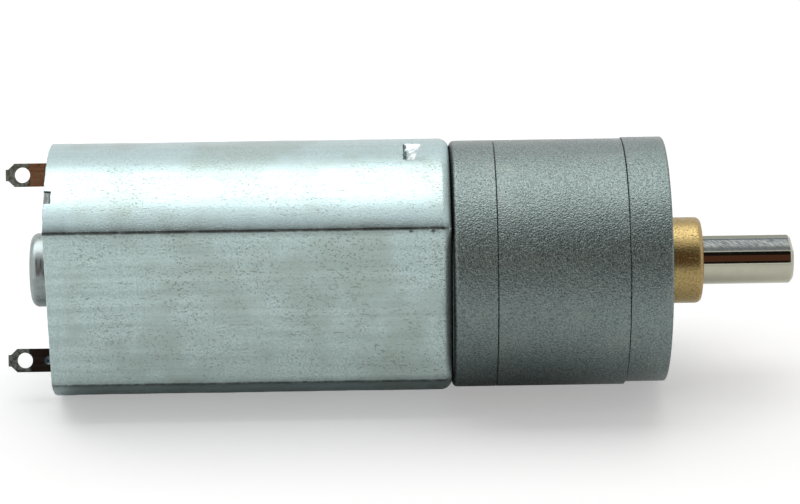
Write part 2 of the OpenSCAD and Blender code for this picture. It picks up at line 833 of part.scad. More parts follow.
// Moulded holder inside the end plate: insulates the terminals and carries the brush arms
module brush_holder() {
    slot_t = terminal_t + 2 * fit_gap;
    slot_h = terminal_w + 2 * fit_gap;
    collar_h = terminal_w + 2 * collar_wall;
    color(plastic) difference() {
        union() {
            along_x(x_plate_front + fit_gap) linear_extrude(holder_t) can_outline(can_wall + 0.1);
            for (upper = [true, false]) {
                at_terminal(upper)
                    translate([x_plate + fit_gap, -terminal_t / 2 - collar_wall, terminal_at(upper) - collar_h / 2])
                        cube([plate_t + holder_t, terminal_t + 2 * collar_wall, collar_h]);
                brush_side(upper) brush_post();
            }
        }
        bar(x_plate_front - over, x_holder_front + over, holder_hole_r);
        for (upper = [true, false])
            at_terminal(upper)
                translate([x_plate - over, -slot_t / 2, terminal_at(upper) - slot_h / 2])
                    cube([plate_t + holder_t + 2 * over, slot_t, slot_h]);
    }
}

// A post with a slit that grips the root of a brush arm
module brush_post() {
    grip = 0.7;
    along_x(x_holder_front - over) linear_extrude(post_l + over)
        difference() {
            polygon(strip_outline([arm_path[1], arm_path[1] + 0.55 * (arm_path[2] - arm_path[1])], arm_t + 2 * grip));
            polygon(strip_outline(arm_path, arm_t + 2 * fit_gap));
        }
}

// A terminal blade with a chamfered tip, a solder hole and a pressed dimple
module terminal(upper) {
    half = terminal_w / 2;
    x_tip = x_rim - terminal_out;
    x_chamfer = x_tip + terminal_nub_l;
    x_square = x_chamfer + terminal_chamfer_l;
    x_foot = x_holder_front + terminal_foot;
    nub = half - terminal_chamfer;
    dimple_r = (pow(dimple_d / 2, 2) + pow(dimple_depth, 2)) / (2 * dimple_depth);
    color(dark_steel) at_terminal(upper) translate([0, 0, terminal_at(upper)]) difference() {
        rotate([90, 0, 0]) linear_extrude(terminal_t, center = true)
            polygon([
                [x_foot, -half], [x_foot, half], [x_square, half], [x_chamfer, nub], [x_tip, nub],
                [x_tip, -nub], [x_chamfer, -nub], [x_square, -half]
            ]);
        translate([x_tip + terminal_hole_at, 0, 0]) rotate([90, 0, 0])
            cylinder(h = terminal_t + 2 * over, d = terminal_hole_d, center = true);
        translate([x_rim - dimple_d, terminal_t / 2 + dimple_r - dimple_depth, 0]) sphere(dimple_r);
    }
}

module terminal_upper() { terminal(true); }
module terminal_lower() { terminal(false); }

// Sprung copper arm from a terminal to its brush
module brush_arm(upper) {
    color(copper) brush_side(upper) along_x(x_arm) linear_extrude(arm_w) polygon(strip_outline(arm_path, arm_t));
}

module brush_arm_upper() { brush_arm(true); }
module brush_arm_lower() { brush_arm(false); }

// Carbon brush with a hollow face that rides on the commutator
module carbon_brush(upper) {
    brush_y = arm_y - arm_t / 2 - fit_gap;
    color(carbon) brush_side(upper) difference() {
        translate([x_arm + (arm_w - brush_l) / 2, 0, -brush_w / 2]) cube([brush_l, brush_y, brush_w]);
        bar(x_arm - over, x_arm + arm_w + over, commutator_r + run_gap);
    }
}

module carbon_brush_upper() { carbon_brush(true); }
module carbon_brush_lower() { carbon_brush(false); }

// Rotor

// Motor pinion, pressed on the shaft's front end
module motor_pinion() {
    color(brass) difference() {
        teeth_between(x_motor_pinion, x_motor_pinion_end, motor_pinion_teeth, motor_pinion_shift, axis_to_a);
        bar(x_motor_pinion - over, x_motor_pinion_end + over, motor_shaft_r + fit_gap);
    }
}

// Motor shaft, from the rear bearing to the pinion
module rotor_shaft() {
    color(steel) bar(x_rear_bearing + 0.2, x_motor_pinion_end - 0.05, motor_shaft_r);
}

// Laminated core with three T-shaped poles
module rotor_core() {
    color(dark_steel) along_x(x_core) linear_extrude(core_l) difference() {
        union() {
            difference() {
                circle(core_r);
                circle(core_r - shoe_t);
                for (i = [0 : 2])
                    rotate(120 * i + 60) translate([0, -slot_w / 2]) square([core_r + over, slot_w]);
            }
            for (i = [0 : 2])
                rotate(120 * i) translate([0, -neck_w / 2]) square([core_r - shoe_t / 2, neck_w]);
            circle(core_hub_r);
        }
        circle(motor_shaft_r + fit_gap);
    }
}

// Three coils round the necks of the poles
module rotor_windings() {
    coil_r = core_r - shoe_t - 0.15;
    inside_w = neck_w + 2 * fit_gap;
    inside_l = core_l + 2 * insulator_t + 4 * fit_gap;
    color(copper) for (i = [0 : 2])
        rotate([120 * i, 0, 0]) intersection() {
            translate([x_core + core_l / 2, 0, 0]) difference() {
                translate([0, (core_hub_r + coil_r) / 2 + 0.2, 0])
                    cube([inside_l + 2 * coil_overhang, coil_r - core_hub_r, inside_w + 2 * coil_t], center = true);
                cube([inside_l, 3 * core_r, inside_w], center = true);
            }
            bar(x_core - 2 * coil_overhang, x_core + core_l + 2 * coil_overhang, coil_r);
        }
}

// Fibre plates that keep the coils off the ends of the core
module rotor_insulators() {
    color(paper) for (x = [x_core - fit_gap - insulator_t, x_core + core_l + fit_gap])
        along_x(x) linear_extrude(insulator_t) difference() {
            union() {
                circle(core_hub_r);
                for (i = [0 : 2])
                    rotate(120 * i) translate([0, -neck_w / 2]) square([core_r - shoe_t / 2, neck_w]);
            }
            circle(motor_shaft_r + fit_gap);
        }
}

// Moulded sleeve under the commutator's bars
module commutator_hub() {
    color(plastic) tube(x_commutator - 0.2, x_commutator + bar_l + 0.4, commutator_r - bar_t - fit_gap, motor_shaft_r + fit_gap);
}

// Three copper bars with tangs at the end beside the coils
module commutator_bars() {
    tang_w = 0.8;
    tang_l = 0.5;
    color(copper) difference() {
        union() {
            bar(x_commutator, x_commutator + bar_l, commutator_r);
            for (i = [0 : 2])
                rotate([120 * i, 0, 0])
                    translate([x_commutator + bar_l - tang_l, 0, -tang_w / 2]) cube([tang_l, commutator_r + 0.8, tang_w]);
        }
        bar(x_commutator - over, x_commutator + bar_l + over, commutator_r - bar_t);
        for (i = [0 : 2])
            rotate([120 * i + 60, 0, 0])
                translate([x_commutator - over, 0, -bar_gap / 2]) cube([bar_l + 2 * over, core_r, bar_gap]);
    }
}

// Collars that set the rotor's place between its bearings
module rotor_collars() {
    collar_r = 1.6;
    bore = motor_shaft_r + fit_gap;
    x_coil_front = x_core + core_l + insulator_t + coil_overhang + 4 * fit_gap;
    color(brass) {
        tube(x_coil_front, x_front_bearing - free_gap / 2, collar_r, bore);
        tube(x_rear_bearing + rear_bearing_l + free_gap / 2, x_commutator - 0.2 - fit_gap, collar_r, bore);
    }
}

front_cover();
gear_housing();
rear_cover();
output_bush();
cover_screws();
motor_screws();
idler_pin_a();
idler_pin_b();
idler_spacers();
output_shaft();
output_gear();
output_washer();
first_wheel();
first_pinion();
second_wheel();
second_pinion();
third_wheel();
third_pinion();
motor_can();
end_plate();
front_bearing();
rear_bearing();
magnet_upper();
magnet_lower();
magnet_clip();
brush_holder();
terminal_upper();
terminal_lower();
brush_arm_upper();
brush_arm_lower();
carbon_brush_upper();
carbon_brush_lower();
motor_pinion();
rotor_shaft();
rotor_core();
rotor_windings();
rotor_insulators();
commutator_hub();
commutator_bars();
rotor_collars();
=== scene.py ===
# Looks of a small geared dc motor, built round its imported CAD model.
# Sizes are in millimetres, in the CAD frame; meshes are turned into metres when they are made.
from math import cos, pi, radians, sin

import bpy
import numpy as np
from mathutils import Matrix, Vector


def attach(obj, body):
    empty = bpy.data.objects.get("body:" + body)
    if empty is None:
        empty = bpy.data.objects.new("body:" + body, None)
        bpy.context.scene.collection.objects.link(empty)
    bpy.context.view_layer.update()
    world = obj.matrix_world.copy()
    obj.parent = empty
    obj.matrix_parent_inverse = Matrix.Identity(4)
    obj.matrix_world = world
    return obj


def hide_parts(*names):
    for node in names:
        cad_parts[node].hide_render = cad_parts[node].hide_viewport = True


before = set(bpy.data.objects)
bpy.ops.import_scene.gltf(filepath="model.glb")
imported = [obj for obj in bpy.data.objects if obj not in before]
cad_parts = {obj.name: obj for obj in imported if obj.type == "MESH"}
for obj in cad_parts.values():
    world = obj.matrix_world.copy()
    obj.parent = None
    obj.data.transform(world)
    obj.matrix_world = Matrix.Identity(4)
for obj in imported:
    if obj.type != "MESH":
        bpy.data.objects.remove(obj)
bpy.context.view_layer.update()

# Motor can
# A cup deep-drawn from steel sheet and squeezed to two flats, with a tongue lanced inwards in each rounded
# side as a magnet stop. It is plated with zinc, dull and pitted, with drawing lines and brownish marks.
MM = 1000.0
CAN_R = 10.2
CAN_FLATS = 15.4
CAN_WALL = 0.8
CAN_REAR = -49.4
CAN_FRONT = -17.3
CAN_CORNER_R = 0.4
CAN_EDGE_R = 0.9
FLAT_EDGE_SHARE, FLAT_EDGE_FADE = 0.3, 24.0
MOUTH_L, MOUTH_STEP = 1.75, 0.02
CAN_BOSS_R, CAN_BOSS_L, CAN_BOSS_BORE, CAN_SHAFT_HOLE = 3.0, 1.6, 2.27, 1.3
CAN_BOSS_EDGE, CAN_BOSS_T = 0.3, 0.7
FLOOR_INSET, FACE_INSET, BOSS_INSET = 1.1, 2.4, 3.0
BODY_STEP, LANCE_STEP = 0.42, 0.05
SIDE_TURN = 48.15
NOTCH_ANGLE, NOTCH_W, NOTCH_DEPTH, NOTCH_REACH = 31.0, 1.22, 0.56, 1.25
NOTCH_HALF_TURN = np.degrees(NOTCH_W / 2 / CAN_R)
LANCE_X, LANCE_DEPTH = -20.97, 0.5
LANCE_SIDES = (-1.9, 1.2)
LANCE_FLUSH = 0.1
LANCE_CREASE, LANCE_SLANT = 1.18, 0.19
LANCE_RUN_OUT, LANCE_ROLL = 1.1, 0.45
LANCE_ZONE_Z, CLEAR_OF_LANCE = 9.0, 9.0
FLAT_STEPS = np.linspace(0, 1, 15)
CORNER_STEPS = np.linspace(0, 1, 9)[1:]


def side_steps():
    """Steps from a corner to the middle of a rounded side, with close pairs at a notch's two edges."""
    edges = NOTCH_ANGLE + NOTCH_HALF_TURN * np.array([-1, 1])
    pairs = np.add.outer(1 - edges / SIDE_TURN, [-0.002, 0.002]).ravel()
    return np.unique(np.concatenate([np.linspace(0, 1, 58)[1:], pairs]))


SIDE_STEPS = side_steps()


def can_outline(inset):
    """The can's outline moved inwards by each inset: half a flat, a corner arc that touches flat and side,
    and half a rounded side, mirrored to four quarters. Gives y and z of the points and of the outward
    directions."""
    inset = inset[:, None]
    flat, side = CAN_FLATS / 2 - inset, CAN_R - inset
    corner = np.maximum(CAN_CORNER_R - inset, 0.03)
    middle_y = flat - corner
    middle_z = np.sqrt((side - corner) ** 2 - middle_y ** 2)
    turn = np.arctan2(middle_z, middle_y)
    bend = turn * CORNER_STEPS
    sweep = turn + (pi / 2 - turn) * SIDE_STEPS
    y = np.hstack([flat + 0 * FLAT_STEPS, middle_y + corner * np.cos(bend), side * np.cos(sweep)])
    z = np.hstack([middle_z * FLAT_STEPS, middle_z + corner * np.sin(bend), side * np.sin(sweep)])
    angle = np.hstack([0 * turn * FLAT_STEPS, bend, sweep])

    def quarters(part, over_top, over_side):
        """One quarter carried round: back over the top, on past the far side, and back underneath."""
        there, below = part[:, -2::-1], part[:, -2:0:-1]
        return np.hstack([part, over_top * there, over_top * over_side * part[:, 1:], over_side * below])

    out_y, out_z = np.cos(angle), np.sin(angle)
    return quarters(y, -1, 1), quarters(z, 1, -1), quarters(out_y, -1, 1), quarters(out_z, 1, -1)


def smooth(value):
    """Eases from 0 to 1 as the value goes from 0 to 1."""
    value = np.clip(value, 0, 1)
    return value * value * (3 - 2 * value)


def grid_piece(name, grids, ends):
    """A mesh on one or more grids of points in millimetres. Columns run round the piece and close. Rows run
    along it: they close on themselves as a shell, or are closed at both ends by a fan of triangles."""
    corners, faces, count = [], [], 0
    for points in grids:
        rows, columns = points.shape[:2]
        index = count + np.arange(rows * columns).reshape(rows, columns)
        after = np.roll(index, -1, 0)
        quads = np.stack([index, np.roll(index, -1, 1), np.roll(after, -1, 1), after], -1)
        corners.append(points.reshape(-1, 3))
        count += rows * columns
        if ends == "fans":
            quads = quads[:-1]
            tips = np.full(columns, count)
            faces += np.stack([tips, np.roll(index[0], -1), index[0]], -1).tolist()
            faces += np.stack([tips + 1, index[-1], np.roll(index[-1], -1)], -1).tolist()
            corners.append([points[0].mean(0), points[-1].mean(0)])
            count += 2
        faces += quads.reshape(-1, 4).tolist()
    mesh = bpy.data.meshes.new(name)
    mesh.from_pydata(np.vstack(corners) / MM, [], faces)
    mesh.polygons.foreach_set("use_smooth", np.ones(len(mesh.polygons), bool))
    mesh.set_sharp_from_angle(angle=radians(40))
    piece = bpy.data.objects.new(name, mesh)
    bpy.context.scene.collection.objects.link(piece)
    return piece


def can_rows():
    """The wall's section as one closed path: up the inside to the rim, along the outside to the front edge,
    over the front to the boss, and back through its bore. Each row has x, inset, how far it is a circle, and
    its radius."""
    near_rim = CAN_REAR + np.linspace(0.06, MOUTH_L + 0.35, 30)
    body = np.arange(CAN_REAR + MOUTH_L + 0.7, LANCE_X - 0.5, BODY_STEP)
    lance = np.arange(LANCE_X - 0.4, CAN_FRONT - CAN_EDGE_R - 0.02, LANCE_STEP)
    outside = np.concatenate([near_rim, body, lance])
    edge = np.linspace(0, pi / 2, 12)
    inside = CAN_FRONT - CAN_WALL
    top = CAN_FRONT + CAN_BOSS_L
    inner = [(inside, FLOOR_INSET, 0, 0), (inside - 0.3, CAN_WALL, 0, 0), (CAN_REAR + 1.3, CAN_WALL, 0, 0),
             (CAN_REAR + 0.05, CAN_WALL, 0, 0), (CAN_REAR, CAN_WALL - 0.05, 0, 0), (CAN_REAR, 0.06, 0, 0)]
    wall = [(x, 0, 0, 0) for x in outside]
    bend = [(CAN_FRONT - CAN_EDGE_R * (1 - sin(t)), CAN_EDGE_R * (1 - cos(t)), 0, 0) for t in edge]
    rings = [(CAN_FRONT, CAN_BOSS_R), (top - CAN_BOSS_EDGE, CAN_BOSS_R), (top, CAN_BOSS_R - CAN_BOSS_EDGE),
             (top, CAN_SHAFT_HOLE), (top - CAN_BOSS_T, CAN_SHAFT_HOLE), (top - CAN_BOSS_T, CAN_BOSS_BORE),
             (inside, CAN_BOSS_BORE)]
    boss = [(x, BOSS_INSET, 1, radius) for x, radius in rings]
    face = [(CAN_FRONT, FACE_INSET, 0, 0), *boss, (inside, FACE_INSET, 0, 0)]
    return np.array(inner + wall + bend + face)


def lance_crease(across):
    """Where the torn part of the tongue ends, as a distance from its sheared edge: a slanting line."""
    return LANCE_CREASE + LANCE_SLANT * across


def lance_depth(x, across):
    """How far the tongue is pushed in: a torn edge, then a steep and a shallow ramp that meet on a slanting
    crease, with sides that roll back to the surface."""
    torn = 0.04 * np.sin(11 * across) + 0.04 * np.sin(23 * across + 1)
    ahead = x - LANCE_X + torn
    crease = lance_crease(across)
    steep = LANCE_FLUSH + (LANCE_DEPTH - LANCE_FLUSH) * np.clip(1 - ahead / crease, 0, 1)
    shallow = LANCE_FLUSH * np.clip((crease + LANCE_RUN_OUT - ahead) / LANCE_RUN_OUT, 0, 1)
    ramp = np.where(ahead < crease, steep, shallow)
    middle = (LANCE_SIDES[0] + LANCE_SIDES[1]) / 2
    sides = smooth((LANCE_SIDES[1] - middle - np.abs(across - middle)) / LANCE_ROLL)
    return np.where(ahead > 0, ramp * sides, 0)


def can_points():
    """The can's grid: the outline at each row's inset, dented by the lances, drawn back at the notches, and
    very slightly wavy, with a mouth widened by the end plate and a tighter front edge on the flats. Also
    gives masks for the scraped tongues and for the painted shade along the corners and in the torn edges."""
    x, inset, round_share, radius = can_rows().T
    y, z, out_y, out_z = can_outline(inset)
    bearing = np.arctan2(z, y)
    share, radius = round_share[:, None], radius[:, None]
    y = (1 - share) * y + share * radius * np.cos(bearing)
    z = (1 - share) * z + share * radius * np.sin(bearing)
    x = np.repeat(x[:, None], y.shape[1], 1)
    outside = (inset[:, None] < 0.3) * (1 - share)

    from_top = np.degrees(np.arctan2(np.abs(out_y), np.abs(out_z)))
    notch = np.abs(from_top - NOTCH_ANGLE) < NOTCH_HALF_TURN
    ragged = 0.012 * np.sin(41 * bearing) + 0.01 * np.sin(97 * bearing + 2)
    near_rim = np.clip(1 - (x - CAN_REAR) / NOTCH_REACH, 0, 1)

    wave = 0.007 * np.sin(0.42 * x + 0.31 * z) + 0.005 * np.sin(0.93 * x - 0.5 * y + 1)
    wave = wave + 0.004 * np.sin(1.9 * x + 0.8 * z + 2) + 0.003 * np.sin(0.7 * z - 2.9 * x)
    across = np.where(np.abs(z) > LANCE_ZONE_Z, y, CLEAR_OF_LANCE)
    dent = lance_depth(x, across)
    mouth = MOUTH_STEP * smooth((CAN_REAR + MOUTH_L - x) / 0.25)
    lean = np.degrees(np.arctan2(np.abs(out_z), np.abs(out_y)))
    bend = (x > CAN_FRONT - CAN_EDGE_R) * (inset[:, None] < CAN_EDGE_R + 0.05)
    tighter = FLAT_EDGE_SHARE * bend * smooth((FLAT_EDGE_FADE - lean) / FLAT_EDGE_FADE)
    push = outside * (wave * smooth((CAN_FRONT - 0.4 - x) / 2) + mouth - dent) + tighter * inset[:, None]
    x = x + tighter * (CAN_FRONT - x)
    ahead = x - LANCE_X
    in_lance = outside * (across > LANCE_SIDES[0] + 0.1) * (across < LANCE_SIDES[1] - 0.1)
    scraped = in_lance * smooth((ahead - 0.1) / 0.12) * smooth((lance_crease(across) - ahead) / 0.1)
    teeth = 0.16 + 0.1 * np.sin(8 * across) + 0.06 * np.sin(19 * across + 2)
    torn = in_lance * smooth((ahead + 0.08) / 0.05) * smooth((teeth - ahead) / 0.08)

    # Painted shade: a dark band along each corner between flat and rounded side, and dark torn edges on the
    # tongues.
    flank = 0.4 * (np.abs(z) > 6.5) * (lean < 1) + 0.4 * (lean > 41.8) * smooth((44.6 - lean) / 2.6)
    corner = np.maximum(smooth((lean + 2) / 10) * (lean > 1) * smooth((46 - lean) / 8), flank) * outside
    painted_shade = np.clip(corner * smooth((CAN_FRONT + 0.1 - x) / 0.3) + torn, 0, 1)
    x = x + (NOTCH_DEPTH * notch + ragged) * near_rim * (1 - share)
    return np.stack([x, y + out_y * push, z + out_z * push], -1), scraped, painted_shade


def add(tree, kind, inputs=None, **options):
    """Places a node, sets its options, and gives each named input a value or another node's output."""
    node = tree.nodes.new(kind)
    for name, value in options.items():
        setattr(node, name, value)
    for name, value in (inputs or {}).items():
        if isinstance(value, bpy.types.NodeSocket):
            tree.links.new(value, node.inputs[name])
        else:
            node.inputs[name].default_value = value
    return node


def calc(tree, operation, *values):
    """The result of one sum on numbers or sockets."""
    return add(tree, "ShaderNodeMath", dict(enumerate(values)), operation=operation).outputs[0]


def ramp(tree, value, low, high, start=0.0, end=1.0):
    """A value eased from start to end while the input goes from low to high."""
    inputs = {"Value": value, "From Min": low, "From Max": high, "To Min": start, "To Max": end}
    return add(tree, "ShaderNodeMapRange", inputs, interpolation_type="SMOOTHSTEP").outputs["Result"]


def over(tree, mask, under, top):
    """One colour laid over another where a mask is white."""
    mix = add(tree, "ShaderNodeMix", data_type="RGBA")
    for socket, value in ((mix.inputs[0], mask), (mix.inputs[6], under), (mix.inputs[7], top)):
        if isinstance(value, bpy.types.NodeSocket):
            tree.links.new(value, socket)
        else:
            socket.default_value = (*value, 1.0) if isinstance(value, tuple) else value
    return mix.outputs[2]


def faint(tree, mask, share):
    """A mask made weaker."""
    return calc(tree, "MULTIPLY", mask, share)


def new_group(name, numbers, result):
    """An effect that starts from a place in millimetres and some numbers: its tree, inputs and output."""
    tree = bpy.data.node_groups.new(name, "ShaderNodeTree")
    tree.interface.new_socket("Place", in_out="INPUT", socket_type="NodeSocketVector")
    for number in numbers:
        tree.interface.new_socket(number, in_out="INPUT", socket_type="NodeSocketFloat")
    tree.interface.new_socket(result, in_out="OUTPUT", socket_type="NodeSocketFloat")
    given = tree.nodes.new("NodeGroupInput").outputs
    return tree, given, tree.nodes.new("NodeGroupOutput").inputs[result]


def scaled(tree, place, factors):
    """A place with each coordinate multiplied by its own factor."""
    return add(tree, "ShaderNodeVectorMath", {0: place, 1: factors}, operation="MULTIPLY").outputs[0]


def counted(tree, place, long, wide):
    """A place counted in units of a length along x and a width across it."""
    units = [calc(tree, "DIVIDE", 1.0, size) for size in (long, wide)]
    stretch = add(tree, "ShaderNodeCombineXYZ", {"X": units[0], "Y": units[1], "Z": units[1]}).outputs[0]
    return scaled(tree, place, stretch)


def noise(tree, place, size, detail=3.0, roughness=0.55):
    """Smooth noise whose waves are about the given size."""
    place = counted(tree, place, size, size)
    inputs = {"Vector": place, "Scale": 1.0, "Detail": detail, "Roughness": roughness}
    return add(tree, "ShaderNodeTexNoise", inputs).outputs["Fac"]


def drawn_noise(tree, given):
    """Noise with waves of a group's Length along x and of its Width across."""
    place = counted(tree, given["Place"], given["Length"], given["Width"])
    inputs = {"Vector": place, "Scale": 1.0, "Detail": 3.0, "Roughness": 0.6}
    return add(tree, "ShaderNodeTexNoise", inputs).outputs["Fac"]


def specks_group():
    """Irregular specks: noise of the given length along x and width across, where it rises over a level."""
    tree, given, result = new_group("specks", ("Length", "Width", "Level"), "Mask")
    above = calc(tree, "SUBTRACT", drawn_noise(tree, given), given["Level"])
    tree.links.new(ramp(tree, above, 0.0, 0.05), result)
    return tree


def streaks_group():
    """Noise drawn out along x: Length and Width are the size of its streaks."""
    tree, given, result = new_group("streaks", ("Length", "Width"), "Value")
    tree.links.new(drawn_noise(tree, given), result)
    return tree


def clouds_group():
    """Soft patches: noise of the given size, white above a level and black below it."""
    tree, given, result = new_group("clouds", ("Size", "Level", "Softness"), "Mask")
    low = calc(tree, "SUBTRACT", given["Level"], given["Softness"])
    high = calc(tree, "ADD", given["Level"], given["Softness"])
    tree.links.new(ramp(tree, noise(tree, given["Place"], given["Size"], 4.0), low, high), result)
    return tree


specks = specks_group()
streaks = streaks_group()
clouds = clouds_group()


def effect(tree, group, place, **numbers):
    """Places a shared effect in a material and returns what it puts out."""
    node = add(tree, "ShaderNodeGroup", node_tree=group)
    tree.links.new(place, node.inputs["Place"])
    for name, value in numbers.items():
        node.inputs[name].default_value = value
    return node.outputs[0]


def place_mm(tree):
    """The place on a piece in millimetres."""
    here = add(tree, "ShaderNodeTexCoord").outputs["Object"]
    return add(tree, "ShaderNodeVectorMath", {0: here, "Scale": MM}, operation="SCALE").outputs[0]


def new_finish(name, metallic):
    """A material with its shader, and the place on the piece in millimetres."""
    material = bpy.data.materials.new(name)
    material.use_nodes = True
    tree = material.node_tree
    shader = tree.nodes["Principled BSDF"]
    shader.inputs["Metallic"].default_value = metallic
    return material, tree, shader, place_mm(tree)


def along(tree, place, axis="X"):
    """One coordinate of a place."""
    return add(tree, "ShaderNodeSeparateXYZ", {"Vector": place}).outputs[axis]


def band(tree, value, low, high, soft):
    """White between two values, with soft edges."""
    above_low = ramp(tree, value, low - soft, low + soft)
    below_high = ramp(tree, value, high + soft, high - soft)
    return calc(tree, "MULTIPLY", above_low, below_high)


def shade(tree, shader, colour, roughness, height, depth_mm):
    """Joins a colour, a roughness and a height field of the given depth to the shader."""
    tree.links.new(colour, shader.inputs["Base Color"])
    tree.links.new(roughness, shader.inputs["Roughness"])
    bump = add(tree, "ShaderNodeBump", {"Height": height, "Strength": 1.0, "Distance": depth_mm / MM})
    tree.links.new(bump.outputs["Normal"], shader.inputs["Normal"])


CORNER_NICKS = ((-20.55, -7.68, 6.5), (-18.8, -7.68, 6.5), (-48.75, -6.2, -8.0))


def zinc_finish():
    """Dull zinc: drawing lines, mottle, crowds of pits, dashes of dirt, brown marks, and a cleaner rim, with
    a painted bluish reflection on the rounded sides and painted shade along the corners, in the torn edges of
    the tongues and at the joint with the gearbox.
    """
    material, tree, shader, place = new_finish("zinc_plate", 1.0)
    x = along(tree, place)
    lines = effect(tree, streaks, place, Length=14.0, Width=0.5)
    mottle = noise(tree, place, 0.16, 2.0)
    tone = calc(tree, "MULTIPLY_ADD", mottle, 0.65, faint(tree, lines, 0.35))
    colour = over(tree, ramp(tree, tone, 0.34, 0.66), (0.38, 0.485, 0.47), (0.52, 0.65, 0.635))
    # Painted reflection: a bluish tint on the rounded sides, standing in for the bluish room they reflect.
    rounded = ramp(tree, calc(tree, "ABSOLUTE", along(tree, place, "Z")), 6.6, 7.0)
    colour = over(tree, faint(tree, rounded, 0.42), colour, (0.44, 0.56, 0.6))
    used = ramp(tree, x, CAN_REAR + 1.0, CAN_REAR + 2.4)
    marks = effect(tree, clouds, place, Size=6.0, Level=0.53, Softness=0.1)
    marks = calc(tree, "MULTIPLY", marks, calc(tree, "MULTIPLY", used, ramp(tree, mottle, 0.35, 0.6)))
    colour = over(tree, faint(tree, marks, 0.55), colour, (0.28, 0.325, 0.26))
    scratch = ramp(tree, effect(tree, streaks, place, Length=9.0, Width=0.1), 0.66, 0.74)
    colour = over(tree, faint(tree, scratch, 0.5), colour, (0.16, 0.18, 0.155))
    crowd = effect(tree, clouds, place, Size=4.0, Level=0.47, Softness=0.14)
    pits = calc(tree, "MULTIPLY", effect(tree, specks, place, Length=0.2, Width=0.15, Level=0.59), crowd)
    dashes = effect(tree, specks, place, Length=0.9, Width=0.13, Level=0.65)
    dirt = calc(tree, "MAXIMUM", pits, faint(tree, dashes, 0.8))
    dirt = calc(tree, "MULTIPLY", dirt, calc(tree, "MULTIPLY_ADD", used, 0.75, 0.25))
    colour = over(tree, faint(tree, dirt, 0.5), colour, (0.16, 0.155, 0.11))
    # Painted shade: the crease and torn-edge mask from the mesh, made patchy, with dark spots at three nicks
    # on the corner, laid on in near-black.
    painted_shade = add(tree, "ShaderNodeAttribute", attribute_name="painted_shade").outputs["Fac"]
    uneven = calc(tree, "MULTIPLY", painted_shade, ramp(tree, noise(tree, place, 0.8), 0.25, 0.6, 0.55, 1.0))
    for nick in CORNER_NICKS:
        away = add(tree, "ShaderNodeVectorMath", {0: place, 1: nick}, operation="DISTANCE").outputs["Value"]
        uneven = calc(tree, "MAXIMUM", uneven, ramp(tree, away, 0.24, 0.1))
    colour = over(tree, faint(tree, uneven, 0.85), colour, (0.06, 0.07, 0.068))
    scraped = add(tree, "ShaderNodeAttribute", attribute_name="scraped").outputs["Fac"]
    bare = calc(tree, "MULTIPLY", scraped, ramp(tree, noise(tree, place, 0.6), 0.44, 0.56, 0.1, 1.0))
    colour = over(tree, bare, colour, (0.9, 0.93, 0.93))
    # Painted shade: near-black at the front edge, where the can meets the gearbox.
    joint_shade = ramp(tree, x, CAN_FRONT - 0.14, CAN_FRONT - 0.02)
    colour = over(tree, faint(tree, joint_shade, 0.9), colour, (0.02, 0.022, 0.02))
    height = calc(tree, "SUBTRACT", calc(tree, "MULTIPLY_ADD", lines, 0.3, mottle), dirt)
    edge = ramp(tree, x, CAN_FRONT - 0.7, CAN_FRONT - 0.4)
    dull_edge = calc(tree, "MULTIPLY", edge, calc(tree, "SUBTRACT", 1.0, rounded))
    tree.links.new(calc(tree, "MULTIPLY_ADD", dull_edge, -0.4, 1.0), shader.inputs["Metallic"])
    rough = calc(tree, "MULTIPLY_ADD", edge, 0.25, ramp(tree, tone, 0.34, 0.66, 0.36, 0.28))
    shade(tree, shader, colour, rough, height, 0.008)
    return material


points, scraped, painted_shade = can_points()
can = grid_piece("motor_can_shell", [points], "shell")
for name, mask in (("scraped", scraped), ("painted_shade", painted_shade)):
    layer = can.data.attributes.new(name, "FLOAT", "POINT")
    layer.data.foreach_set("value", mask.astype(np.float32).ravel())
can.data.materials.append(zinc_finish())
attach(can, "motor_frame")
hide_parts("motor_can")

# Magnets and their clip
# Two sintered ferrite arcs lie in the rounded sides of the can, against the lanced stops.
# A strip of spring steel along one flat pushes them apart.


def dress(material, *names):
    """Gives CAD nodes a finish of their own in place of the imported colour."""
    for name in names:
        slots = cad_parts[name].data.materials
        slots.clear()
        slots.append(material)


def ground_finish(name, dark, light, metallic, roughness, size, depth_mm):
    """A plain worked surface: two tones and a height field from one noise of the given size."""
    material, tree, shader, place = new_finish(name, metallic)
    grain = noise(tree, place, size)
    rough = ramp(tree, grain, 0.3, 0.7, roughness - 0.06, roughness + 0.06)
    shade(tree, shader, over(tree, ramp(tree, grain, 0.35, 0.65), dark, light), rough, grain, depth_mm)
    return material


dress(ground_finish("ferrite", (0.03, 0.031, 0.033), (0.06, 0.06, 0.062), 0.0, 0.6, 0.3, 0.01),
      "magnet_upper", "magnet_lower")
dress(ground_finish("spring_steel", (0.38, 0.38, 0.37), (0.5, 0.5, 0.49), 1.0, 0.3, 0.5, 0.002),
      "magnet_clip")

# Rotor
# A steel shaft carries a stack of laminations with three coils, a commutator and a brass pinion.
# Fibre plates keep the coils off the stack, and brass collars set its place between two sintered bearings.
LAMINATION_T = 0.5


def laminated_finish():
    """Blued sheet steel: fine dark joints across the stack, one for each lamination."""
    material, tree, shader, place = new_finish("core_steel", 1.0)
    sheet = calc(tree, "PINGPONG", along(tree, place), LAMINATION_T / 2)
    joint = ramp(tree, sheet, 0.0, 0.05, 1.0, 0.0)
    grain = noise(tree, place, 0.5)
    colour = over(tree, joint, over(tree, grain, (0.16, 0.16, 0.17), (0.26, 0.26, 0.27)), (0.03, 0.03, 0.03))
    rough = ramp(tree, grain, 0.3, 0.7, 0.32, 0.45)
    shade(tree, shader, colour, rough, calc(tree, "SUBTRACT", 1.0, joint), 0.02)
    return material


WIRE_D = 0.28
COIL_LAYERS = 5
COIL_FOOT, COIL_R = 2.4, 4.75
NECK_HALF_W = 1.12
CORE_END_GAP = 0.33
TURN_STEPS = 32


